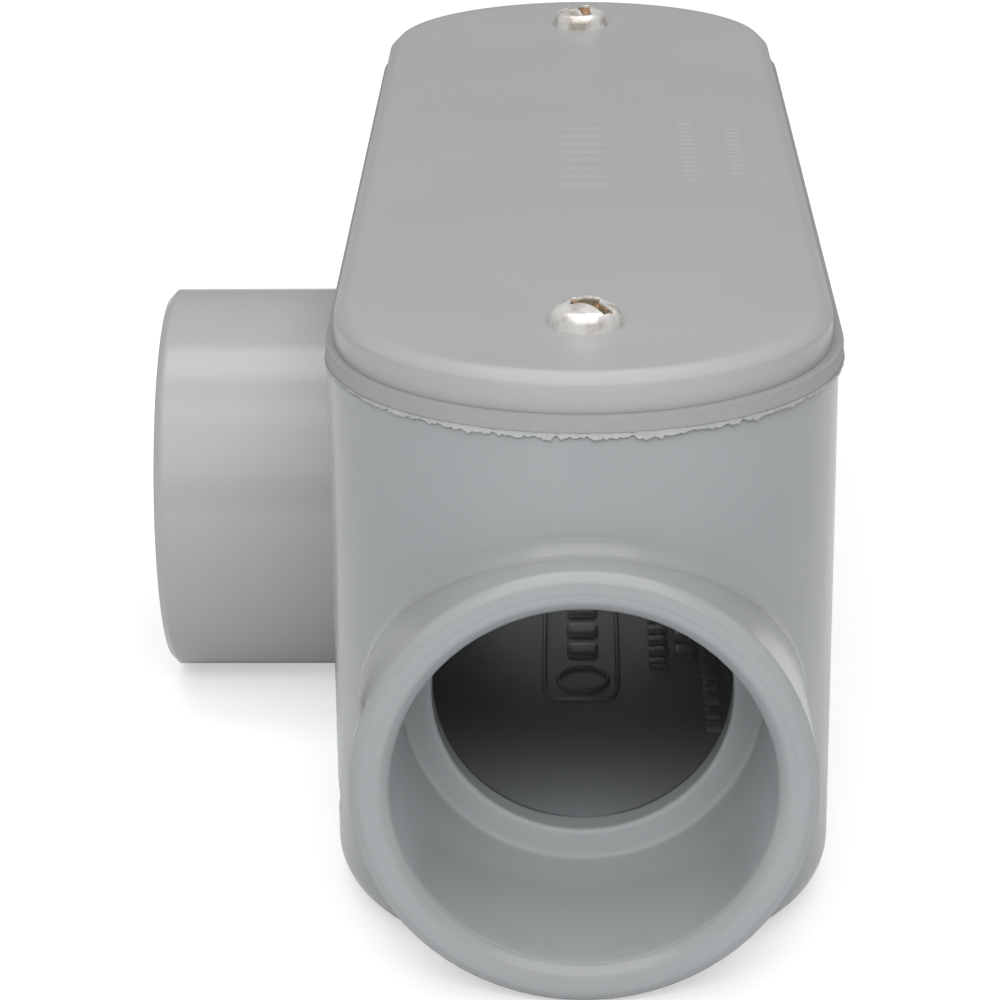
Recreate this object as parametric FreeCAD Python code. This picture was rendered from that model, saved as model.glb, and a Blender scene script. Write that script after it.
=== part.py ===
import FreeCAD, Part
import math
import os

# A tee conduit body moulded in PVC: a deep trough with rounded ends, one hub on each end and one
# on the -X side, closed by a gasket and a cover held with two pan head screws.
# Millimetres. X is across, Y along the run, Z up. The origin is on the flat back, under the
# point where the centre lines of the three hubs cross.

# Conduit and hubs
conduit_diameter = 33.4
socket_clearance = 0.1
socket_depth = 22.2
hub_wall = 3.5
hub_lift = 0.3
run_reach = 82.0
branch_reach = 44.0
bore_diameter = 27.9
stop_thickness = 3.0
hub_face_bevel = 0.8
socket_mouth_bevel = 0.9

# Trough, which ends this far behind the faces of the run hubs
hub_projection = 5.0
body_width = 46.4
body_height = 51.7
wall = 3.0
floor_thickness = 3.2
draft_angle = 0.1
back_edge_radius = 4.5
cavity_floor_radius = 2.0
cavity_corner_radius = 3.0

# Shallow sink mark along the -X wall, near the front end
sink_height = 8.9
sink_depth = 0.4
sink_radius = 5.0
sink_length = 20.0

# Gasket and cover
gasket_thickness = 1.5
gasket_overhang = 0.2
gasket_band = 4.2
gasket_web = 1.5
gasket_shift = 0.2
cover_thickness = 3.5
cover_margin = 0.7
cover_edge_bevel = 1.0
cover_skin = 2.2
cover_shift = 0.1

# Screws, and the bosses that they enter
screw_inset = 15.2
screw_shift = 0.3
screw_diameter = 3.5
screw_length = 12.7
screw_point = 1.2
head_diameter = 6.4
head_height = 2.2
head_side = 0.6
head_round = 1.2
slot_width = 1.1
slot_depth = 0.9
recess_span = 3.4
recess_depth = 1.4
front_slot_angle = -55.0
rear_slot_angle = -76.0
boss_diameter = 9.0
pilot_clearance = 0.05
pilot_spare = 1.8
hole_clearance = 0.4

# Worked out from the sizes above
socket_radius = conduit_diameter / 2 + socket_clearance
hub_radius = socket_radius + hub_wall
hub_height = hub_radius + hub_lift
hub_floor = socket_depth + stop_thickness
cavity_half_length = run_reach - hub_floor
body_length = 2 * (run_reach - hub_projection)
screw_offset = body_length / 2 - screw_inset
pocket_floor = hub_height + hub_radius + hub_lift
opening_length = 2 * (screw_offset - boss_diameter / 2 - gasket_web)
opening_width = body_width - 2 * gasket_band
gasket_top = body_height + gasket_thickness
cover_top = gasket_top + cover_thickness
cavity_width = body_width - 2 * wall
past = 1.0

UP = FreeCAD.Vector(0, 0, 1)
ORIGIN = FreeCAD.Vector(0, 0, 0)


def oblong_wire(length, width, z, shift=0.0):
    """Closed outline with two straight sides and two half-round ends, long along Y."""
    radius = width / 2
    centre = length / 2 - radius

    def at(x, y):
        return FreeCAD.Vector(x + shift, y, z)

    edges = [
        Part.LineSegment(at(radius, -centre), at(radius, centre)),
        Part.Arc(at(radius, centre), at(0, centre + radius), at(-radius, centre)),
        Part.LineSegment(at(-radius, centre), at(-radius, -centre)),
        Part.Arc(at(-radius, -centre), at(0, -centre - radius), at(radius, -centre)),
    ]
    return Part.Wire([edge.toShape() for edge in edges])


def oblong(length, width, z, height, shift=0.0):
    face = Part.Face(oblong_wire(length, width, z, shift))
    return face.extrude(FreeCAD.Vector(0, 0, height))


def drafted_oblong(length, width, bottom, top):
    """Oblong of the given size at the top, drawn in towards the bottom by the draft angle."""
    taper = 2 * (top - bottom) * math.tan(math.radians(draft_angle))
    low = oblong_wire(length - taper, width - taper, bottom)
    high = oblong_wire(length, width, top)
    return Part.makeLoft([low, high], True, True)


def cylinder(radius, height, x, y, z):
    return Part.makeCylinder(radius, height, FreeCAD.Vector(x, y, z), UP)


def box(x_low, x_high, y_low, y_high, z_low, z_high):
    corner = FreeCAD.Vector(x_low, y_low, z_low)
    return Part.makeBox(x_high - x_low, y_high - y_low, z_high - z_low, corner)


def edges_where(shape, test):
    """Edges of the shape for which the test holds at both ends and at the middle."""
    chosen = []
    for edge in shape.Edges:
        low, high = edge.ParameterRange
        points = [edge.valueAt(low), edge.valueAt((low + high) / 2), edge.valueAt(high)]
        if all(test(point) for point in points):
            chosen.append(edge)
    return chosen


def revolved(points):
    """Solid of revolution about +Z. A point is (r, z), or (r, z, r_mid, z_mid) for an arc to it."""
    edges = []
    start = FreeCAD.Vector(points[0][0], 0, points[0][1])
    for point in points[1:] + points[:1]:
        end = FreeCAD.Vector(point[0], 0, point[1])
        if len(point) == 4:
            middle = FreeCAD.Vector(point[2], 0, point[3])
            edges.append(Part.Arc(start, middle, end).toShape())
        elif (end - start).Length > 1e-9:
            edges.append(Part.LineSegment(start, end).toShape())
        start = end
    face = Part.Face(Part.Wire(edges))
    return face.revolve(ORIGIN, UP, 360)


def hub_blank(length):
    """Plain hub with its bevelled face at z = 0 and its barrel up +Z."""
    return revolved([
        (0, 0),
        (hub_radius - hub_face_bevel, 0),
        (hub_radius, hub_face_bevel),
        (hub_radius, length),
        (0, length),
    ])


def socket_cutter(length):
    """Socket with a bevelled mouth, its stop, and the smaller bore on to the given length."""
    mouth = socket_radius + socket_mouth_bevel
    bore = bore_diameter / 2
    return revolved([
        (0, -past),
        (mouth, -past),
        (mouth, 0),
        (socket_radius, socket_mouth_bevel),
        (socket_radius, socket_depth),
        (bore, socket_depth),
        (bore, length),
        (0, length),
    ])


def hub_places():
    """Placement of each hub: local +Z runs from the hub's face into the trough."""
    front = FreeCAD.Vector(0, -run_reach, hub_height)
    rear = FreeCAD.Vector(0, run_reach, hub_height)
    side = FreeCAD.Vector(-branch_reach, 0, hub_height)
    return [
        FreeCAD.Placement(front, FreeCAD.Rotation(UP, FreeCAD.Vector(0, 1, 0))),
        FreeCAD.Placement(rear, FreeCAD.Rotation(UP, FreeCAD.Vector(0, -1, 0))),
        FreeCAD.Placement(side, FreeCAD.Rotation(UP, FreeCAD.Vector(1, 0, 0))),
    ]


def placed(shape, place):
    moved = shape.copy()
    moved.Placement = place
    return moved


def trough_blank():
    """Outer form of the trough, rounded where the side meets the flat back."""
    blank = drafted_oblong(body_length, body_width, 0, body_height)
    back_edges = edges_where(blank, lambda point: abs(point.z) < 1e-6)
    return blank.makeFillet(back_edge_radius, back_edges)


def sink_mark():
    """Cutter for the sink mark, a cylinder along Y that only just enters the trough's side."""
    side = body_width / 2 - (body_height - sink_height) * math.tan(math.radians(draft_angle))
    middle = -(body_length - body_width) / 2
    start = FreeCAD.Vector(sink_depth - side - sink_radius, middle - sink_length / 2, sink_height)
    return Part.makeCylinder(sink_radius, sink_length, start, FreeCAD.Vector(0, 1, 0))


def cavity():
    """Wiring space between the stops, with a shallow pocket over each run socket."""
    half = cavity_width / 2
    end = cavity_half_length
    main = box(-half, half, -end, end, floor_thickness, body_height + past)
    upright = edges_where(main, lambda p: abs(abs(p.x) - half) + abs(abs(p.y) - end) < 1e-6)
    main = main.makeFillet(cavity_corner_radius, upright)
    low = edges_where(main, lambda p: abs(p.z - floor_thickness) < 1e-6)
    main = main.makeFillet(cavity_floor_radius, low)
    depth = body_height - pocket_floor
    pockets = oblong(body_length - 2 * wall, cavity_width, pocket_floor, depth + past)
    return main.fuse(pockets)


def at_both_screws(make):
    """The shapes that a function makes from x and y of the front and of the rear screw."""
    return [make(screw_shift, -screw_offset), make(screw_shift, screw_offset)]


def bosses():
    radius = boss_diameter / 2
    low = pocket_floor - past
    height = body_height - low + 2 * past
    return at_both_screws(lambda x, y: cylinder(radius, height, x, y, low))


def pilot_holes():
    radius = screw_diameter / 2 + pilot_clearance
    depth = screw_length - cover_thickness - gasket_thickness + pilot_spare
    low = body_height - depth
    return at_both_screws(lambda x, y: cylinder(radius, depth + past, x, y, low))


def screw_holes(low, height):
    radius = screw_diameter / 2 + hole_clearance
    return at_both_screws(lambda x, y: cylinder(radius, height + 2 * past, x, y, low - past))


def conduit_body():
    places = hub_places()
    hubs = [placed(hub_blank(hub_floor), place) for place in places]
    shape = trough_blank().cut(sink_mark()).fuse(hubs)
    shape = shape.cut(cavity().cut([hubs[2]] + bosses()))
    shape = shape.cut([placed(socket_cutter(hub_floor + past), place) for place in places])
    return shape.cut(pilot_holes()).removeSplitter()


def opening(low, height, shift):
    """Room inside the gasket and under the cover, between the two screw bosses."""
    return oblong(opening_length, opening_width, low, height, shift)


def cover_gasket():
    length = body_length + 2 * gasket_overhang
    width = body_width + 2 * gasket_overhang
    shape = oblong(length, width, body_height, gasket_thickness, gasket_shift)
    shape = shape.cut(opening(body_height - past, gasket_thickness + 2 * past, gasket_shift))
    return shape.cut(screw_holes(body_height, gasket_thickness))


def cover():
    length = body_length - 2 * cover_margin
    width = body_width - 2 * cover_margin
    shape = oblong(length, width, gasket_top, cover_thickness, cover_shift)
    top_edges = edges_where(shape, lambda point: abs(point.z - cover_top) < 1e-6)
    shape = shape.makeChamfer(cover_edge_bevel, top_edges)
    shape = shape.cut(opening(gasket_top - past, cover_thickness - cover_skin + past, cover_shift))
    return shape.cut(screw_holes(gasket_top, cover_thickness))


def screw_blank():
    """Pan head screw about +Z, the underside of its head at z = 0.

    The head has an upright side, a shoulder of two flats along an arc, and a low round crown that
    runs on from the end of the arc.
    """
    shank = screw_diameter / 2
    head = head_diameter / 2
    inner = head - head_round
    rise = head_height - head_side
    crown = (inner * inner + rise * rise - head_round * head_round) / (2 * (rise - head_round))
    crown_middle = head_height - crown
    turn = math.atan2(head_side - crown_middle, inner)

    def on_shoulder(angle):
        return inner + head_round * math.cos(angle), head_side + head_round * math.sin(angle)

    lean = (math.pi / 2 + turn) / 2
    return revolved([
        (0, -screw_length),
        (shank - screw_point / 2, -screw_length),
        (shank, screw_point - screw_length),
        (shank, 0),
        (head, 0),
        on_shoulder(0),
        on_shoulder(turn / 2),
        on_shoulder(turn),
        (0, head_height, crown * math.cos(lean), crown_middle + crown * math.sin(lean)),
    ])


def screw_recess():
    """Combined drive: a slot right across the head, and a deeper cross in the middle."""
    half = slot_width / 2
    top = head_height + past
    slot = box(-head_diameter, head_diameter, -half, half, head_height - slot_depth, top)
    reach = recess_span / 2
    along = box(-reach, reach, -half, half, head_height - recess_depth, top)
    across = box(-half, half, -reach, reach, head_height - recess_depth, top)
    return slot.fuse([along, across])


def cover_screw(y, angle):
    shape = screw_blank().cut(screw_recess())
    seat = FreeCAD.Vector(screw_shift, y, cover_top)
    shape.Placement = FreeCAD.Placement(seat, FreeCAD.Rotation(UP, angle))
    return shape


def export(name, shape):
    solid = shape.Solids[0] if len(shape.Solids) == 1 else shape
    solid.exportStep(os.path.join("parts", name + ".step"))
    state = "valid" if shape.isValid() else "NOT VALID"
    print(name, state, len(shape.Solids), "solid", round(shape.Volume))


os.makedirs("parts", exist_ok=True)
export("conduit_body", conduit_body())
export("cover_gasket", cover_gasket())
export("cover", cover())
export("front_cover_screw", cover_screw(-screw_offset, front_slot_angle))
export("rear_cover_screw", cover_screw(screw_offset, rear_slot_angle))
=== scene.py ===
import math

import bmesh
import bpy
import numpy as np
from mathutils import Matrix, Vector


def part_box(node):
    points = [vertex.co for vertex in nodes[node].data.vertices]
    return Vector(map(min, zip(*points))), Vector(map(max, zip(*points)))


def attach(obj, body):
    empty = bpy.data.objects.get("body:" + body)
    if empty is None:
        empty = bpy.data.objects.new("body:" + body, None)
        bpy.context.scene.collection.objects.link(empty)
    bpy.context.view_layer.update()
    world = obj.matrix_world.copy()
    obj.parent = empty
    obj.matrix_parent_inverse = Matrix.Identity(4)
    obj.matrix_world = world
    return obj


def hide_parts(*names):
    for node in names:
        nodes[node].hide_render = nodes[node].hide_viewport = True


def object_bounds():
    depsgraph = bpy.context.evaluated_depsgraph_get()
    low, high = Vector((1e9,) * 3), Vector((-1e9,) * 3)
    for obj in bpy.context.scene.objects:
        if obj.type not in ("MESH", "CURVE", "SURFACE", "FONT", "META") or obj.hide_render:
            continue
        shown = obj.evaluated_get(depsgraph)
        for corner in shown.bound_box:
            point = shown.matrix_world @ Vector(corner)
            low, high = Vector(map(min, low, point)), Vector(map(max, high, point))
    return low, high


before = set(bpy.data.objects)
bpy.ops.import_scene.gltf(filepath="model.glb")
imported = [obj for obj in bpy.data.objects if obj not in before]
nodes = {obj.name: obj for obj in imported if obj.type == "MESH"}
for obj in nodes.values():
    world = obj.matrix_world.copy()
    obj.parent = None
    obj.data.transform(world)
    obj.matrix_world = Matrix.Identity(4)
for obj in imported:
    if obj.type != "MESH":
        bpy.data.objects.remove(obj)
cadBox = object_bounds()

mm = 0.001
mergeDistance = 0.0005 * mm
print("frame loaded:", ", ".join(sorted(nodes)))


# places read from the frame, and sizes shared with the solids

bodyLow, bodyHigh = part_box("conduit_body")
gasketLow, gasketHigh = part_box("cover_gasket")
coverLow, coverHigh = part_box("cover")
screwLow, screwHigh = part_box("front_cover_screw")
farScrewLow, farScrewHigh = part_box("rear_cover_screw")
hubRadius = 20.3 * mm
hubHeight = 20.6 * mm          # the hubs' centre lines above the back
wallRadius = 23.2 * mm         # half the trough's width at its top, and the radius of its round ends
wallLean = math.tan(math.radians(0.1))
coverMargin = 0.7 * mm         # how far the cover stands back from the trough's wall
roundEnd = (coverHigh.y - coverLow.y) / 2 + coverMargin - wallRadius    # centre of each round end


# shader maths

class Wire:
    # wraps one socket, so that sums and products of sockets are written as plain arithmetic
    def __init__(self, graph, socket):
        self.graph = graph
        self.socket = socket

    def math(self, operation, *others):
        values = dict(enumerate((self,) + others))
        return self.graph.node("ShaderNodeMath", {"operation": operation}, values)

    def __add__(self, other):
        return self.math("ADD", other)

    def __radd__(self, other):
        return self.math("ADD", other)

    def __sub__(self, other):
        return self.math("SUBTRACT", other)

    def __rsub__(self, other):
        return self.graph.node("ShaderNodeMath", {"operation": "SUBTRACT"}, {0: other, 1: self})

    def __mul__(self, other):
        return self.math("MULTIPLY", other)

    def __rmul__(self, other):
        return self.math("MULTIPLY", other)

    def __pow__(self, other):
        return self.math("POWER", other)

    def __abs__(self):
        return self.math("ABSOLUTE")

    def __lt__(self, other):
        # 1 where this socket is the lower, 0 elsewhere
        return self.math("LESS_THAN", other)

    def __gt__(self, other):
        return self.math("GREATER_THAN", other)

    def step(self, low, high):
        # 0 below low, 1 above high, a straight rise between them
        rise = self * (1 / (high - low)) - low / (high - low)
        return rise.math("MINIMUM", 1.0).math("MAXIMUM", 0.0)

    def beside(self, output):
        # another output of the same node
        return Wire(self.graph, self.socket.node.outputs[output])


class Graph:
    # the nodes of one material or of the world
    def __init__(self, tree):
        self.tree = tree

    def feed(self, socket, value):
        # a wire is linked to the socket, a plain number or colour is set on it
        if isinstance(value, Wire):
            self.tree.links.new(value.socket, socket)
        else:
            socket.default_value = value

    def node(self, kind, settings, inputs, output=0):
        # settings are set first, then each input gets a value or a link
        node = self.tree.nodes.new(kind)
        for key, value in settings.items():
            setattr(node, key, value)
        for key, value in inputs.items():
            self.feed(node.inputs[key], value)
        return Wire(self, node.outputs[output])

    def blend(self, factor, first, second):
        # colour mix; either colour may be a link
        colours = [value if isinstance(value, Wire) else tuple(value) + (1,) for value in (first, second)]
        inputs = {0: factor, 6: colours[0], 7: colours[1]}    # the Mix node's colour sockets
        return self.node("ShaderNodeMix", {"data_type": "RGBA"}, inputs, 2)


class Finish(Graph):
    # one material with its Principled shader
    def __init__(self, name):
        self.material = bpy.data.materials.new(name)
        self.material.use_nodes = True
        super().__init__(self.material.node_tree)
        self.shader = self.tree.nodes["Principled BSDF"]
        self.place = self.node("ShaderNodeTexCoord", {}, {}, "Object")

    def noise(self, scale, detail, roughness, place=None):
        return self.node("ShaderNodeTexNoise", {}, {
            "Vector": place or self.place, "Scale": scale, "Detail": detail, "Roughness": roughness,
        })

    def stretched(self, scale):
        # places multiplied by a scale for each axis
        return self.node("ShaderNodeMapping", {}, {"Vector": self.place, "Scale": scale})

    def axes(self):
        x = self.node("ShaderNodeSeparateXYZ", {}, {0: self.place}, "X")
        return x, x.beside("Y"), x.beside("Z")

    def bump(self, height, distance, strength, normal=None):
        inputs = {"Height": height, "Distance": distance, "Strength": strength}
        if normal:
            inputs["Normal"] = normal
        return self.node("ShaderNodeBump", {}, inputs)

    def softEdges(self, radius):
        return self.node("ShaderNodeBevel", {"samples": 8}, {"Radius": radius})

    def set(self, **values):
        # each name is a socket of the shader, with _ for a space
        for key, value in values.items():
            self.feed(self.shader.inputs[key.replace("_", " ")], value)


# grey PVC of the body and of the cover

pvc = {
    "body": (0.300, 0.308, 0.312),
    "bodyPale": (0.315, 0.323, 0.327),
    "bodyDeep": (0.288, 0.297, 0.302),
    "bodyGloss": 0.13,              # roughness
    "bodySoftness": 0.9 * mm,       # how far moulded rims are eased
    "barrel": (0.365, 0.370, 0.372),    # side hub, painted a little paler than the trough: painted light for the light the barrel catches
    "barrelShare": 0.9,
    "barrelFade": (23.4 * mm, 25.5 * mm),    # distances from the run between which its painted light comes in
    "inside": (0.41, 0.43, 0.445),  # trough's inside, painted paler than its outside: painted light for the hollow
    "insideReach": 20.7 * mm,       # from the trough's middle line
    "insideFloor": 3.0 * mm,        # lowest height with the inside's painted light
    "bore": (0.43, 0.445, 0.45),    # sockets' bores, painted paler: painted light for the sockets' insides
    "boreReach": 17.0 * mm,         # from each hub's centre line
    "runBore": 57.2 * mm,           # the bores' tone starts this far out along the run
    "sideBore": 19.6 * mm,          # and this far out along the side hub
    "mouth": 0.95 * mm,             # bevel at each socket's mouth, which keeps the outer tone
    "seamRadius": 18.45 * mm,       # low step round each hub's face
    "seamWidth": 0.22 * mm,
    "seamDepth": 0.05 * mm,         # how near the face a point lies to carry the step
    "seamHeight": 6.0,              # in heights of the grain
    "cover": (0.350, 0.353, 0.352),
    "coverPale": (0.364, 0.367, 0.366),
    "coverDeep": (0.338, 0.341, 0.341),
    "coverGloss": 0.27,
    "coverSoftness": 1.2 * mm,      # on the cover's top edge
    "coverFoot": 0.12 * mm,         # and on its lower edge
    "coverTurn": (1.9 * mm, 1.3 * mm),    # depths under the top between which the easing changes
    # paler than the cover: a painted highlight for the light the raised marks catch
    "mark": (0.362, 0.365, 0.364),
    # far paler than the body: a painted highlight for the glints the raised lines and bars catch
    "floorMark": (0.74, 0.75, 0.76),
    "ior": 1.45,
    "cloudScale": 26.0,
    "driftScale": 90.0,
    "grainScale": 2600.0,
    "dragScale": (420.0, 60.0, 420.0),
    "deepShare": 0.6,
    "grainDepth": 0.012 * mm,
    "grainStrength": 0.6,
}


def greyPvc(name, base, pale, deep, gloss):
    # slow drift of tone, fine moulded grain, and faint drag lines along the run
    finish = Finish(name)
    cloud = finish.noise(pvc["cloudScale"], 3.0, 0.55)
    drift = finish.noise(pvc["driftScale"], 2.0, 0.5)
    grain = finish.noise(pvc["grainScale"], 3.0, 0.6)
    drag = finish.noise(1.0, 4.0, 0.6, finish.stretched(pvc["dragScale"]))
    colour = finish.blend(cloud.step(0.42, 0.68), base, pale)
    colour = finish.blend(drift.step(0.5, 0.8) * pvc["deepShare"], colour, deep)
    rough = gloss + cloud * 0.04 + drag * 0.03 + grain * 0.02
    return finish, colour, rough, grain * 0.4 + drag * 0.6


def pvcSurface(finish, colour, rough, height, soft=None):
    normal = finish.bump(height, pvc["grainDepth"], pvc["grainStrength"], soft)
    finish.set(Base_Color=colour, Roughness=rough, Normal=normal, IOR=pvc["ior"])
    return finish.material


def bodyPvc(name, base):
    # the body's finish in one tone, for the pieces added to it
    return pvcSurface(*greyPvc(name, base, pvc["bodyPale"], pvc["bodyDeep"], pvc["bodyGloss"]))


def troughPvc():
    # the body's own finish: its tone changes with the place, with painted light on the side hub's barrel, in
    # the trough's inside and in the bores, and each hub's face has a low ring
    finish, colour, rough, height = greyPvc(
        "bodyPvc", pvc["body"], pvc["bodyPale"], pvc["bodyDeep"], pvc["bodyGloss"])
    x, y, z = finish.axes()
    up = z - hubHeight
    fromEnd = abs(y)
    alongRun = (x * x + up * up) ** 0.5
    alongSide = (y * y + up * up) ** 0.5
    # distance from the trough's middle line, which runs between the centres of its round ends
    beyond = (fromEnd - roundEnd).math("MAXIMUM", 0.0)
    fromMiddle = (x * x + beyond * beyond) ** 0.5
    inTrough = (fromMiddle < pvc["insideReach"]) * (z > pvc["insideFloor"])
    inRun = (alongRun < pvc["boreReach"]) * (fromEnd > pvc["runBore"])
    inRun = inRun * (fromEnd < bodyHigh.y - pvc["mouth"])
    inSide = (alongSide < pvc["boreReach"]) * (x < -pvc["sideBore"])
    inSide = inSide * (x > bodyLow.x + pvc["mouth"])
    # painted light: the side hub's barrel is painted paler than the trough, for the light it catches
    onBarrel = (0 - x).step(*pvc["barrelFade"])
    colour = finish.blend(onBarrel * pvc["barrelShare"], colour, pvc["barrel"])
    # painted light: the trough's inside is painted paler, standing in for light inside the hollow
    colour = finish.blend(inTrough, colour, pvc["inside"])
    # painted light: the bores are painted paler, standing in for light that reaches into the sockets
    colour = finish.blend(inRun.math("MAXIMUM", inSide), colour, pvc["bore"])
    seam = (pvc["seamRadius"] - pvc["seamWidth"] / 2, pvc["seamRadius"] + pvc["seamWidth"] / 2)
    ledge = alongRun.step(*seam) * (fromEnd > bodyHigh.y - pvc["seamDepth"])
    ledge = ledge + alongSide.step(*seam) * (x < bodyLow.x + pvc["seamDepth"])
    soft = finish.softEdges(pvc["bodySoftness"])
    return pvcSurface(finish, colour, rough, height + ledge * pvc["seamHeight"], soft)


def coverPvc(name, softness, base):
    # with a softness, the cover's top edge is eased by that much and its lower edge hardly
    finish, colour, rough, height = greyPvc(
        name, base, pvc["coverPale"], pvc["coverDeep"], pvc["coverGloss"])
    soft = None
    if softness:
        z = finish.axes()[2]
        near = z.step(coverHigh.z - pvc["coverTurn"][0], coverHigh.z - pvc["coverTurn"][1])
        soft = finish.softEdges(near * (softness - pvc["coverFoot"]) + pvc["coverFoot"])
    return pvcSurface(finish, colour, rough, height, soft)


# gasket sheet and its torn flash

gasketSheet = {
    "face": (0.288, 0.293, 0.296),
    "fleck": (0.322, 0.326, 0.328),
    "flash": (0.37, 0.375, 0.376),
    "flashDeep": (0.31, 0.315, 0.317),
    "roughness": 0.55,
    "flashRoughness": 0.5,
    "softness": 0.25 * mm,
    "fibreScale": (900.0, 900.0, 2600.0),
    "patchScale": 140.0,
    "flashGrain": 1800.0,
    "flashPatch": 320.0,
    "depth": 0.02 * mm,             # height of the fibres and of the flash's grain
}


def gasketRubber():
    # fibres drawn out along the sheet, with paler flecks in patches
    finish = Finish("gasketRubber")
    fibres = finish.noise(1.0, 4.0, 0.65, finish.stretched(gasketSheet["fibreScale"]))
    patches = finish.noise(gasketSheet["patchScale"], 3.0, 0.5)
    speckle = fibres.step(0.5, 0.72) * 0.6 + patches * 0.2
    colour = finish.blend(speckle, gasketSheet["face"], gasketSheet["fleck"])
    soft = finish.softEdges(gasketSheet["softness"])
    normal = finish.bump(fibres, gasketSheet["depth"], 0.5, soft)
    finish.set(Base_Color=colour, Roughness=gasketSheet["roughness"] + patches * 0.12, Normal=normal)
    return finish.material


def tornFlash():
    # paler than the sheet, with deeper patches and a fine grain
    finish = Finish("tornFlash")
    grain = finish.noise(gasketSheet["flashGrain"], 3.0, 0.6)
    patches = finish.noise(gasketSheet["flashPatch"], 3.0, 0.6)
    colour = finish.blend(patches.step(0.35, 0.65), gasketSheet["flashDeep"], gasketSheet["flash"])
    normal = finish.bump(grain, gasketSheet["depth"], 0.6)
    finish.set(Base_Color=colour, Roughness=gasketSheet["flashRoughness"] + grain * 0.1, Normal=normal)
    return finish.material


# bright screws, with colour that turns darker and browner down in the drive

screwMetal = {
    "bright": (0.92, 0.90, 0.86),
    "worn": (0.50, 0.44, 0.38),
    "amber": (0.46, 0.27, 0.12),
    "olive": (0.15, 0.125, 0.06),
    "pit": (0.04, 0.032, 0.022),
    "metallic": 0.62,               # the plating is a little chalky
    "roughness": 0.24,
    "mottleScale": 1500.0,
    "patchScale": 800.0,
    "tarnishScale": 300.0,
    "wearScale": (2200.0, 700.0, 1500.0),
    "wearDepth": 0.03 * mm,
}


def brightMetal():
    # attribute "recess" is 1 in the drive and on its walls, 0 on the open head
    finish = Finish("brightScrewMetal")
    recess = finish.node("ShaderNodeAttribute", {"attribute_name": "recess"}, {}, "Fac")
    mottle = finish.noise(screwMetal["mottleScale"], 4.0, 0.65)
    patches = finish.noise(screwMetal["patchScale"], 2.0, 0.5)
    wear = finish.noise(1.0, 4.0, 0.7, finish.stretched(screwMetal["wearScale"]))
    blotches = finish.noise(screwMetal["tarnishScale"], 3.0, 0.6).step(0.46, 0.62) * 0.9
    tarnish = blotches.math("MAXIMUM", mottle.step(0.5, 0.75) * 0.35)
    colour = finish.blend(tarnish, screwMetal["bright"], screwMetal["worn"])
    # the colour turns olive, amber and near black by the depth in the drive
    stain = finish.blend(patches.step(0.46, 0.54), screwMetal["olive"], screwMetal["amber"])
    stain = finish.blend(mottle.step(0.52, 0.62) * 0.8, stain, screwMetal["pit"])
    dirt = recess.step(0.35, 0.75)
    finish.set(
        Base_Color=finish.blend(dirt * 0.9, colour, stain),
        Metallic=(1 - dirt * 0.6) * screwMetal["metallic"],
        Roughness=screwMetal["roughness"] + wear * 0.12 + dirt * 0.22,
        Normal=finish.bump(wear * 0.6 + mottle * 0.6, screwMetal["wearDepth"], 0.5),
    )
    return finish.material


def dress(name, material):
    # puts the material in every slot of a node
    slots = nodes[name].data.materials
    for place in range(len(slots)):
        slots[place] = material
    if not len(slots):
        slots.append(material)


metal = brightMetal()
dress("conduit_body", troughPvc())
dress("cover", coverPvc("coverPvc", pvc["coverSoftness"], pvc["cover"]))
dress("cover_gasket", gasketRubber())
dress("front_cover_screw", metal)
dress("rear_cover_screw", metal)
print("materials on the five nodes")


# meshes from grids

def gridFaces(rows, columns, closeRows=False):
    # quads between neighbouring rows and columns of a grid; the columns wrap round, the rows may
    row = np.arange(rows if closeRows else rows - 1)
    row, column = np.meshgrid(row, np.arange(columns), indexing="ij")
    nextRow = (row + 1) % rows
    nextColumn = (column + 1) % columns
    quads = [row * columns + column, row * columns + nextColumn,
             nextRow * columns + nextColumn, nextRow * columns + column]
    return np.stack(quads, axis=-1).reshape(-1, 4)


def meshPiece(name, parts, material, crease=40.0, recess=None):
    # parts is a list of (points, quads), and the quads of each part count from its own first point;
    # edges sharper than the crease, in degrees, stay sharp; recess is a value for each point
    points, quads, start = [], [], 0
    for partPoints, partQuads in parts:
        points.append(partPoints.reshape(-1, 3))
        quads.append(partQuads + start)
        start += len(points[-1])
    mesh = bpy.data.meshes.new(name)
    mesh.from_pydata(np.concatenate(points).tolist(), [], np.concatenate(quads).tolist())
    if recess is not None:
        mesh.attributes.new("recess", "FLOAT", "POINT").data.foreach_set("value", recess)
    closed = bmesh.new()
    closed.from_mesh(mesh)
    bmesh.ops.remove_doubles(closed, verts=closed.verts, dist=mergeDistance)
    bmesh.ops.dissolve_degenerate(closed, edges=closed.edges, dist=mergeDistance)
    bmesh.ops.recalc_face_normals(closed, faces=closed.faces)
    closed.to_mesh(mesh)
    closed.free()
    mesh.polygons.foreach_set("use_smooth", np.ones(len(mesh.polygons), dtype=bool))
    mesh.set_sharp_from_angle(angle=math.radians(crease))
    mesh.materials.append(material)
    piece = bpy.data.objects.new(name, mesh)
    bpy.context.scene.collection.objects.link(piece)
    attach(piece, "root")
    return piece


def sweptLoop(path, outward, offsets, rises):
    # profile carried round a closed path: point = path + offset * outward + rise * up
    points = np.repeat(path[:, None, :], offsets.shape[1], axis=1)
    points = points + outward[:, None, :] * offsets[:, :, None]
    points[:, :, 2] += rises
    return points, gridFaces(offsets.shape[0], offsets.shape[1], closeRows=True)


def ragged(steps, waves, rng):
    # sum of sine waves round a loop, each with a whole number of turns, a height and a random start
    turn = np.linspace(0, 2 * math.pi, steps, endpoint=False)
    total = np.zeros(steps)
    for count, height in waves:
        total += height * np.sin(count * turn + rng.uniform(0, 2 * math.pi))
    return total


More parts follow.
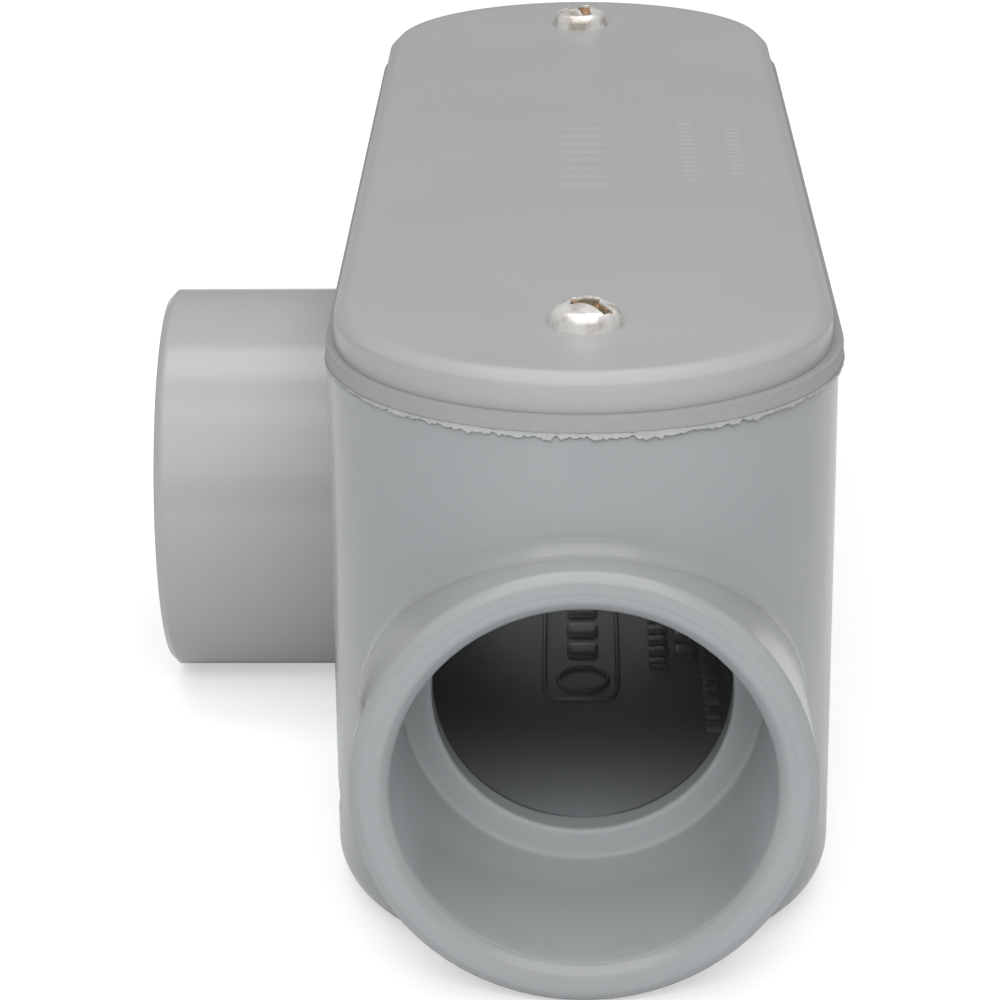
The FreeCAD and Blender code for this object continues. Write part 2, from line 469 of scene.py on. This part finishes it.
def oblongPath(centre, halfWidth, halfLength, count):
    # outline with two straight sides and two half-round ends, run through at even speed,
    # and the outward direction at each point; s is the length run, and the direction turns
    # only on the two bends
    straight = 2 * (halfLength - halfWidth)
    bend = math.pi * halfWidth
    s = np.linspace(0, 2 * (straight + bend), count, endpoint=False)
    onSide = np.clip(s, 0, straight) - np.clip(s - straight - bend, 0, straight)
    angle = (np.clip(s - straight, 0, bend) + np.clip(s - 2 * straight - bend, 0, bend)) / halfWidth
    outward = np.stack([np.cos(angle), np.sin(angle), np.zeros(count)], axis=1)
    path = outward * halfWidth
    path[:, 1] += onSide - straight / 2
    return path + np.array(centre), outward


def lowPad(x, y, halfX, halfY, base, height, power=6.0):
    # low pad: superellipse plan of the given power, flat top and eased edge, closed underneath
    turn = np.linspace(0, 2 * math.pi, 28, endpoint=False)
    shape = (np.abs(np.cos(turn)) ** power + np.abs(np.sin(turn)) ** power) ** (-1 / power)
    reach = np.array([0.0, 0.5, 0.86, 0.97, 1.0, 1.0, 0.0])
    rise = np.array([1.0, 1.0, 0.96, 0.7, 0.2, -0.5, -0.5]) * height
    px = x + halfX * reach[:, None] * (shape * np.cos(turn))[None, :]
    py = y + halfY * reach[:, None] * (shape * np.sin(turn))[None, :]
    pz = base + np.repeat(rise[:, None], len(turn), axis=1)
    return np.stack([px, py, pz], axis=-1), gridFaces(len(reach), len(turn))


# flash round the gasket's lower edge: a thin ragged lip that hangs over the rim

flash = {
    "steps": 3200,
    "thickness": 0.10 * mm,
    "least": 0.13 * mm,        # length before it is torn
    "shortest": 0.05 * mm,
    "front": 0.25 * mm,        # extra length on the front end
    "ragged": 0.09 * mm,
    "curl": 0.42,              # how far the lip's free edge turns outwards, as a share of its length
    "standOff": 0.04 * mm,     # how far the lip's middle lies outside the gasket's edge
    "wave": 0.05 * mm,         # rise and fall of the free edge
    "seed": 7,
    # whole turns round the loop, and height, of each wave
    "tears": [(17, 0.4), (43, 0.4), (97, 0.5), (171, 0.5), (263, 0.5), (389, 0.45), (547, 0.4), (761, 0.3)],
    "chips": [(61, 1), (133, 1), (211, 1)],
    "waves": [(29, 1), (77, 0.8), (151, 0.8), (307, 0.5)],
}


def gasketFlash():
    # the lip hangs from the gasket's lower edge: at t of its length it is length * t down
    # and length * curl * t^2 out, and its thickness falls to two fifths at the free edge
    rng = np.random.default_rng(flash["seed"])
    steps = flash["steps"]
    halfWidth = (gasketHigh.x - gasketLow.x) / 2
    halfLength = (gasketHigh.y - gasketLow.y) / 2
    centre = ((gasketLow.x + gasketHigh.x) / 2, (gasketLow.y + gasketHigh.y) / 2, gasketLow.z)
    path, outward = oblongPath(centre, halfWidth, halfLength, steps)
    facing = np.clip(-outward[:, 1], 0, 1) ** 2.2    # 1 at the front end, 0 on the sides and behind
    tear = ragged(steps, flash["tears"], rng)
    chips = np.clip(ragged(steps, flash["chips"], rng) - 1.0, 0, None)
    length = flash["least"] + flash["front"] * facing
    length = length + flash["ragged"] * (0.35 + 0.65 * facing) * (tear - 1.8 * chips)
    length = np.clip(length, flash["shortest"], None)
    # round the lip's section: t runs along its length, side across its thickness
    t = np.array([-0.2, 0.25, 0.55, 0.8, 1.0, 1.0, 0.8, 0.55, 0.25, -0.2])
    side = np.array([0.5, 0.5, 0.45, 0.4, 0.2, -0.2, -0.4, -0.45, -0.5, -0.5])
    lift = flash["wave"] * ragged(steps, flash["waves"], rng)
    out = np.clip(t, 0, 1) ** 2
    thick = side * flash["thickness"]
    offsets = length[:, None] * out * flash["curl"] + thick + flash["standOff"]
    rises = -length[:, None] * t + thick * 2 * flash["curl"] * out + lift[:, None] * out
    lip = sweptLoop(path, outward, offsets, rises)
    meshPiece("gasketFlash", [lip], tornFlash(), 70.0)


gasketFlash()
print("gasket flash made")


# moulded roots where each hub runs into the trough

roots = {
    "endRadius": 1.5 * mm,
    "sideRadius": 1.0 * mm,
    "lowest": 5.6 * mm,        # they die out above the rounded back edge
    "fade": 0.25,              # radians of the hub's turn in which they do
    "sunk": 0.35,              # how far behind the corner a strip is closed, as a share of its reach
    "steps": 260,
    "arc": 9,
}


def rootStrip(corner, alongHub, alongWall, radius):
    # round inner corner: the arc of that radius which touches both directions from the corner,
    # as a rational curve of weight sin(half the corner's angle), closed behind the corner
    half = np.arccos(np.clip((alongHub * alongWall).sum(axis=1), -1, 1)) / 2
    reach = radius / np.tan(half)
    t = np.linspace(0, 1, roots["arc"])
    near, middle, far = (1 - t) ** 2, 2 * t * (1 - t) * np.sin(half)[:, None], t ** 2
    whole = near + middle + far
    hubShare, wallShare = (near / whole)[:, :, None], (far / whole)[:, :, None]
    arc = alongHub[:, None, :] * hubShare + alongWall[:, None, :] * wallShare
    arc = corner[:, None, :] + arc * reach[:, None, None]
    behind = corner - roots["sunk"] * (alongHub + alongWall) * reach[:, None]
    points = np.concatenate([arc, behind[:, None, :]], axis=1)
    return points, gridFaces(len(corner), points.shape[1])


def rootTurn():
    # directions round the hub's upper part, and a radius that fades to nothing at both ends
    low = math.asin((roots["lowest"] - hubHeight) / hubRadius)
    turn = np.linspace(low, math.pi - low, roots["steps"])
    fade = np.clip(np.minimum(turn - low, math.pi - low - turn) / roots["fade"], 0, 1)
    return turn, fade * fade * (3 - 2 * fade)


def endRoot(side):
    # corner where the hub's cylinder meets the round end: y = end's centre + sqrt(bend^2 - x^2);
    # side is -1 on the front end and 1 on the rear end
    turn, fade = rootTurn()
    level = hubHeight + hubRadius * np.sin(turn)
    x = hubRadius * np.cos(turn)
    bend = wallRadius - (bodyHigh.z - level) * wallLean
    middle = side * roundEnd
    deep = np.sqrt(bend ** 2 - x ** 2)
    flat = np.zeros(len(turn))
    corner = np.stack([x, middle + side * deep, level], axis=1)
    alongHub = np.stack([flat, flat + side, flat], axis=1)
    outward = np.stack([x / bend, side * deep / bend, flat], axis=1)
    radial = np.stack([np.cos(turn), flat, np.sin(turn)], axis=1)
    alongWall = radial - (radial * outward).sum(axis=1)[:, None] * outward
    alongWall = alongWall / np.linalg.norm(alongWall, axis=1)[:, None]
    return rootStrip(corner, alongHub, alongWall, roots["endRadius"] * fade)


def sideRoot():
    # corner where the side hub's cylinder meets the flat leaning wall
    turn, fade = rootTurn()
    level = hubHeight + hubRadius * np.sin(turn)
    flat = np.zeros(len(turn))
    wall = (bodyHigh.z - level) * wallLean - wallRadius
    corner = np.stack([wall, hubRadius * np.cos(turn), level], axis=1)
    alongHub = np.stack([flat - 1, flat, flat], axis=1)
    alongWall = np.stack([flat, np.cos(turn), np.sin(turn)], axis=1)
    return rootStrip(corner, alongHub, alongWall, roots["sideRadius"] * fade)


strips = [endRoot(-1), endRoot(1), sideRoot()]
meshPiece("hubRoots", strips, bodyPvc("bodyPvcRoot", pvc["body"]), 30.0)
print("hub roots made")


# cover screws: pan heads with a worn drive, and a threaded shank

screw = {
    "headRadius": 3.2 * mm,
    "headHeight": 2.2 * mm,
    "side": 0.6 * mm,
    "shoulder": 1.2 * mm,
    "well": (1.2 * mm, 0.95 * mm),    # half sizes of the worn square recess in the middle
    "wellPlace": (-0.05 * mm, 0.3 * mm),
    "wellDepth": 1.4 * mm,
    "slotHalf": 0.55 * mm,
    "slotDepth": 1.15 * mm,
    "edge": 0.10 * mm,         # width of the drive's worn edges
    "wear": 0.10 * mm,         # how far the drive's edges wander
    "burr": 0.17 * mm,         # height of the metal pushed up round the drive
    "burrWidth": 0.30 * mm,
    "dent": 0.02 * mm,
    "stained": 0.35 * mm,      # depth in the drive at which the recess value reaches 1
    "shank": 1.74 * mm,
    "shankTop": 0.4 * mm,      # where the shank is closed inside the head
    "threadDepth": 0.40 * mm,
    "pitch": 0.8 * mm,
    "turns": 16,
    "endGap": 0.1 * mm,        # the shank stops this much short of its last turn
    "point": 1.2 * mm,
    "pointShare": 0.65,        # radius at the very end, as a share of the shank's
    "rings": 150,
    "crownShare": 0.74,        # of the rings
    "spokes": 400,
    "turnSteps": 10,
    "shankSpokes": 40,
    # turns of the well and the slot in degrees, and how far the slot reaches each way
    "frontDrive": {"wellTurn": -5.0, "slotTurn": -46.0, "near": 1.3 * mm, "far": 2.95 * mm, "seed": 3},
    "rearDrive": {"wellTurn": -8.0, "slotTurn": -68.0, "near": 3.3 * mm, "far": 2.6 * mm, "seed": 11},
}


def softStep(value, low, high):
    # smooth rise from 0 at low to 1 at high: 3 t^2 - 2 t^3
    t = np.clip((value - low) / (high - low), 0, 1)
    return t * t * (3 - 2 * t)


def turned(x, y, degrees):
    # places measured along axes that are turned by so many degrees
    c, s = math.cos(math.radians(degrees)), math.sin(math.radians(degrees))
    return c * x + s * y, c * y - s * x


def opening(u, v, middle, halfU, halfV, wander):
    # 1 inside a box with soft worn edges, 0 outside it
    across = np.abs(u - middle) - halfU - wander
    along = np.abs(v) - halfV - wander
    return (1 - softStep(across, 0, screw["edge"])) * (1 - softStep(along, 0, screw["edge"]))


def headProfile():
    # radius and height of each ring: low crown, round shoulder, upright side and flat seat;
    # the crown's radius is the one that meets the shoulder's circle without a corner
    height, side, shoulder = screw["headHeight"], screw["side"], screw["shoulder"]
    inner, rise = screw["headRadius"] - shoulder, height - side
    crown = (inner ** 2 + rise ** 2 - shoulder ** 2) / (2 * (rise - shoulder))
    turnAway = math.atan2(side - height + crown, inner)
    joinRadius = inner + shoulder * math.cos(turnAway)
    top = np.linspace(0, joinRadius, int(screw["rings"] * screw["crownShare"]))
    lean = np.linspace(turnAway, 0, screw["rings"] - len(top))[1:]
    onCrown = height - crown + np.sqrt(crown ** 2 - top ** 2)
    r = np.concatenate([top, inner + shoulder * np.cos(lean), [screw["headRadius"], 0]])
    z = np.concatenate([onCrown, side + shoulder * np.sin(lean), [0, 0]])
    return r, z


def headGrid(drive):
    # pan head by rings and spokes, from which the worn drive is sunk: level = height of the head
    # less the depth of the well or the slot, plus the burr round it; gives the points,
    # and how deep in the drive each one lies
    height, side = screw["headHeight"], screw["side"]
    r, z = headProfile()
    spoke = np.linspace(0, 2 * math.pi, screw["spokes"], endpoint=False)
    x = r[:, None] * np.cos(spoke)
    y = r[:, None] * np.sin(spoke)
    base = np.repeat(z[:, None], len(spoke), axis=1)
    # the edges wander by waves of a few radians per millimetre
    starts = np.random.default_rng(drive["seed"]).uniform(0, 2 * math.pi, 6)
    wander = np.sin(x / mm * 2.6 + starts[0]) * 0.5 + np.sin(x / mm * 5.5 + starts[1]) * 0.35
    wander = wander + np.sin(y / mm * 4.1 + starts[2]) * 0.4 + np.sin((x + y) / mm * 9.0 + starts[3]) * 0.2
    edge = screw["wear"] * wander
    px, py = x - screw["wellPlace"][0], y - screw["wellPlace"][1]
    wellU, wellV = turned(px, py, drive["wellTurn"])
    slotU, slotV = turned(px, py, drive["slotTurn"])
    slotMiddle, slotReach = (drive["far"] - drive["near"]) / 2, (drive["far"] + drive["near"]) / 2
    well = opening(wellU, wellV, 0, screw["well"][0], screw["well"][1], edge)
    slot = opening(slotU, slotV, slotMiddle, slotReach, screw["slotHalf"], edge)
    bowl = 1 - 0.3 * np.clip(np.hypot(px, py) / screw["well"][0], 0, 1)    # the well is deepest in the middle
    floor = np.minimum(
        base - slot * (base - (height - screw["slotDepth"])).clip(0),
        base - well * (base - (height - screw["wellDepth"] * bowl)).clip(0),
    )
    # metal pushed up round the opening, most of it on the far side
    grown = screw["burrWidth"]
    ring = np.maximum(
        opening(wellU, wellV, 0, screw["well"][0] + grown, screw["well"][1] + grown, edge),
        opening(slotU, slotV, slotMiddle, slotReach, screw["slotHalf"] + grown, edge),
    )
    farSide = softStep(py + 0.5 * px, 0.1 * mm, 0.9 * mm)
    push = np.clip(0.6 + 0.5 * wander, 0.1, 1.2) * (0.06 + 0.94 * farSide)
    dents = screw["dent"] * np.sin(x / mm * 2.3 + starts[4]) * np.sin(y / mm * 2.9 + starts[5])
    deep = np.clip((base - floor) / screw["stained"], 0, 1)
    level = floor + screw["burr"] * ring * push * (1 - deep) * (base > height * 0.6) + dents * (base > side)
    return np.stack([x, y, level], axis=-1), deep


def shankGrid():
    # threaded shank: radius falls by the thread's depth between ridges that climb one pitch a turn
    length = screw["pitch"] * screw["turns"] - screw["endGap"]
    z = np.linspace(0, -length, screw["turns"] * screw["turnSteps"])
    turn = np.linspace(0, 2 * math.pi, screw["shankSpokes"], endpoint=False)
    climb = (z[:, None] / screw["pitch"] + turn[None, :] / (2 * math.pi)) % 1.0
    groove = np.clip(np.abs(climb - 0.5) * 2.6 - 0.5, 0, 1)
    taper = screw["pointShare"] + (1 - screw["pointShare"]) * np.clip((length + z) / screw["point"], 0, 1)
    r = (screw["shank"] - screw["threadDepth"] * groove) * taper[:, None]
    r[0] = 0
    z[0] = screw["shankTop"]
    points = np.stack([r * np.cos(turn), r * np.sin(turn), np.repeat(z[:, None], len(turn), axis=1)], axis=-1)
    tip = np.zeros((1, len(turn), 3)) + np.array([0, 0, -length])
    points = np.concatenate([points, tip])
    return points, gridFaces(len(points), len(turn))


def coverScrew(name, node, low, high, drive):
    # head and shank on the cover's top, over the middle of the solid that the piece replaces
    head, deep = headGrid(drive)
    shank, shankQuads = shankGrid()
    seat = np.array([(low.x + high.x) / 2, (low.y + high.y) / 2, coverHigh.z])
    parts = [(head + seat, gridFaces(head.shape[0], head.shape[1])), (shank + seat, shankQuads)]
    recess = np.concatenate([deep.ravel(), np.zeros(shank.shape[0] * shank.shape[1])])
    piece = meshPiece(name, parts, metal, 55.0, recess)
    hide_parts(node)


coverScrew("frontScrew", "front_cover_screw", screwLow, screwHigh, screw["frontDrive"])
coverScrew("rearScrew", "rear_cover_screw", farScrewLow, farScrewHigh, screw["rearDrive"])
print("screws made")


# low marks on the cover and on the trough's floor, painted paler than the plastic under them: painted
# highlights

coverMarks = {
    "height": 0.035 * mm,
    # centre x and y, half width and half length, in millimetres
    "pads": [(-3.9, 28.0, 1.7, 3.4), (7.0, 28.8, 2.0, 3.4)],
    "padPower": 2.4,
    "short": (-12.9, -1.2, 1.7, 1.6),
    "shortPower": 4.0,
    # x, end of the column each way along y, half width of a bar in millimetres, and count of bars
    "columns": [(0.4, 15.2, 2.5, 9), (11.3, 12.7, 0.95, 14), (16.2, 10.2, 0.85, 12)],
}
floorMarks = {
    "level": 3.2 * mm,         # top of the trough's floor
    "height": 0.40 * mm,
    "ridge": 0.55 * mm,        # width of the frame's and the oval's line
    # centre x and y, half width and half length, in millimetres
    "frame": (0.0, 0.0, 3.9, 21.0),
    "framePower": 9.0,
    "frameSteps": 160,
    "oval": (0.2, -15.8, 2.6, 3.2),
    "ovalPower": 2.0,
    "ovalSteps": 60,
    # x, lowest y, half width of a bar, highest y in millimetres, and count of bars
    "columns": [(0.2, -10.8, 1.7, 18, 5), (8.4, -13.0, 1.1, 12, 8), (11.2, -10.8, 1.05, 4, 3),
                (13.6, -30.0, 0.85, 26, 16)],
}
barShare = 0.33                # half of a bar's length, as a share of the bars' spacing


def barColumn(x, yLow, yHigh, halfX, count, base, height):
    # bars laid across a column, evenly spaced, each filling two thirds of its share
    pitch = (yHigh - yLow) / count
    return [
        lowPad(x * mm, (yLow + pitch * (place + 0.5)) * mm, halfX * mm, pitch * barShare * mm, base, height)
        for place in range(count)
    ]


def makeCoverMarks():
    # pads and columns of bars on the cover's top, painted a little paler than the cover as a painted
    # highlight
    top, height = coverHigh.z, coverMarks["height"]
    pads = [(pad, coverMarks["padPower"]) for pad in coverMarks["pads"]]
    pads.append((coverMarks["short"], coverMarks["shortPower"]))
    parts = []
    for (x, y, halfX, halfY), power in pads:
        parts.append(lowPad(x * mm, y * mm, halfX * mm, halfY * mm, top, height, power))
    for x, end, halfX, count in coverMarks["columns"]:
        parts += barColumn(x, -end, end, halfX, count, top, height)
    meshPiece("coverMarks", parts, coverPvc("coverPvcMark", 0, pvc["mark"]))


def superPath(x, y, halfX, halfY, level, power, count):
    # superellipse outline and its outward directions
    turn = np.linspace(0, 2 * math.pi, count, endpoint=False)
    shape = (np.abs(np.cos(turn)) ** power + np.abs(np.sin(turn)) ** power) ** (-1 / power)
    across = x + halfX * shape * np.cos(turn)
    path = np.stack([across, y + halfY * shape * np.sin(turn), np.full(count, level)], axis=1)
    tangent = np.roll(path, -1, axis=0) - np.roll(path, 1, axis=0)
    outward = np.stack([tangent[:, 1], -tangent[:, 0], np.zeros(count)], axis=1)
    return path, outward / np.linalg.norm(outward, axis=1)[:, None]


def ridgeLoop(x, y, halfX, halfY, power, count):
    # oval ridge carried round a superellipse, with its lower half sunk in the floor
    path, outward = superPath(x * mm, y * mm, halfX * mm, halfY * mm, floorMarks["level"], power, count)
    turn = np.linspace(0, 2 * math.pi, 10, endpoint=False)
    offsets = np.repeat((floorMarks["ridge"] / 2 * np.cos(turn))[None, :], count, axis=0)
    rises = np.repeat((floorMarks["height"] * np.sin(turn))[None, :], count, axis=0)
    return sweptLoop(path, outward, offsets, rises)


def makeFloorMarks():
    # a frame, an oval in it and columns of bars on the trough's floor, painted pale as a painted highlight
    level, height = floorMarks["level"], floorMarks["height"]
    parts = [
        ridgeLoop(*floorMarks["frame"], floorMarks["framePower"], floorMarks["frameSteps"]),
        ridgeLoop(*floorMarks["oval"], floorMarks["ovalPower"], floorMarks["ovalSteps"]),
    ]
    for x, yLow, halfX, yHigh, count in floorMarks["columns"]:
        parts += barColumn(x, yLow, yHigh, halfX, count, level, height)
    meshPiece("floorMarks", parts, bodyPvc("bodyPvcMark", pvc["floorMark"]))


makeCoverMarks()
makeFloorMarks()
print("cover and floor marks made")


# floor, light and camera

studio = {
    "floorSize": 8.0,
    "floorDrop": 0.05 * mm,     # gap between the floor and the lowest point
    "floorGlow": 0.5,           # share of the floor's white that the camera sees as plain light
    "floorPaint": (0.62, 0.62, 0.62),
    "floorBounce": (0.82, 0.83, 0.84),
    "ambient": (0.25, 0.255, 0.262),
    "mirrored": 0.15,           # how far a mirror sees the white backdrop rather than the ambient
    "lamps": {
        "topLight": {"place": (0.0, 0.03, 1.25), "size": (1.3, 0.50), "power": 6.3, "glint": True},
        "highLight": {"place": (0.0, -0.52, 1.10), "size": (1.6, 0.60), "power": 2.8, "glint": True},
        "frontLight": {"place": (0.0, -0.91, 0.84), "size": (1.6, 1.05), "power": 5.2, "glint": True},
        # the key gives light but no glint
        "keyLight": {"place": (0.0, -1.0, 0.775), "size": (0.80, 0.32), "power": 6.5, "glint": False},
    },
    "aim": (0.0, 0.0, 0.02),
}


def backdropShare(graph):
    # 1 for rays that go to the camera or through glass, part for a mirror, 0 for light that bounces
    camera = graph.node("ShaderNodeLightPath", {}, {}, "Is Camera Ray")
    mirror = camera.beside("Is Glossy Ray") * studio["mirrored"]
    return camera.math("MAXIMUM", mirror).math("MAXIMUM", camera.beside("Is Transmission Ray"))


def paleFloor():
    # one wide square under the object: part of its white is plain light, the rest takes the shadow
    finish = Finish("paleFloor")
    seen = backdropShare(finish)
    finish.set(Base_Color=finish.blend(seen, studio["floorBounce"], studio["floorPaint"]), Roughness=1.0)
    finish.set(Emission_Color=finish.blend(seen, (0, 0, 0), (1, 1, 1)), Emission_Strength=studio["floorGlow"])
    finish.set(Specular_IOR_Level=0.0)
    half = studio["floorSize"] / 2
    level = cadBox[0][2] - studio["floorDrop"]
    corners = [(-half, -half, level), (half, -half, level), (half, half, level), (-half, half, level)]
    mesh = bpy.data.meshes.new("floor")
    mesh.from_pydata(corners, [], [(0, 1, 2, 3)])
    mesh.materials.append(finish.material)
    floor = bpy.data.objects.new("floor", mesh)
    bpy.context.scene.collection.objects.link(floor)


def paleWorld():
    # white where the backdrop is seen, and the ambient light for everything else
    world = bpy.data.worlds.new("studioWorld")
    bpy.context.scene.world = world
    world.use_nodes = True
    graph = Graph(world.node_tree)
    background = graph.tree.nodes["Background"].inputs
    graph.feed(background["Color"], graph.blend(backdropShare(graph), studio["ambient"], (1, 1, 1)))
    graph.feed(background["Strength"], 1.0)


def softLight(name, settings):
    # a wide lamp turned towards the aim, which the camera doesn't see
    lamp = bpy.data.lights.new(name, "AREA")
    lamp.shape = "RECTANGLE"
    lamp.size, lamp.size_y = settings["size"]
    lamp.energy = settings["power"]
    light = bpy.data.objects.new(name, lamp)
    light.location = settings["place"]
    aim = Vector(studio["aim"]) - light.location
    light.rotation_euler = aim.to_track_quat("-Z", "Y").to_euler()
    light.visible_camera = False
    light.visible_glossy = settings["glint"]
    bpy.context.scene.collection.objects.link(light)


view = {
    "place": (-0.0011, -0.3523, 0.1460),
    "down": 20.0,        # degrees, as are the turn and the roll
    "turn": -1.24,
    "roll": -0.58,
    "lens": 124.2,
    "sensor": 36.0,
    "nearest": 0.01,
    "farthest": 20.0,
}


def makeCamera():
    # looks along +Y, turned about the upright, tipped down and rolled about its own line of sight
    down, turn, roll = (math.radians(view[key]) for key in ("down", "turn", "roll"))
    ahead = Vector((math.sin(turn) * math.cos(down), math.cos(turn) * math.cos(down), -math.sin(down)))
    level = Vector((math.cos(turn), -math.sin(turn), 0))
    above = level.cross(ahead)
    right = level * math.cos(roll) + above * math.sin(roll)
    up = above * math.cos(roll) - level * math.sin(roll)
    lens = bpy.data.cameras.new("camera")
    lens.lens, lens.sensor_width = view["lens"], view["sensor"]
    lens.clip_start, lens.clip_end = view["nearest"], view["farthest"]
    camera = bpy.data.objects.new("camera", lens)
    stance = Matrix((right, up, -ahead)).transposed().to_4x4()
    camera.matrix_world = Matrix.Translation(Vector(view["place"])) @ stance
    bpy.context.scene.collection.objects.link(camera)
    bpy.context.scene.camera = camera


paleFloor()
paleWorld()
for name, settings in studio["lamps"].items():
    softLight(name, settings)
makeCamera()
bpy.context.scene.view_settings.view_transform = "Standard"
print("floor, lights and camera set")
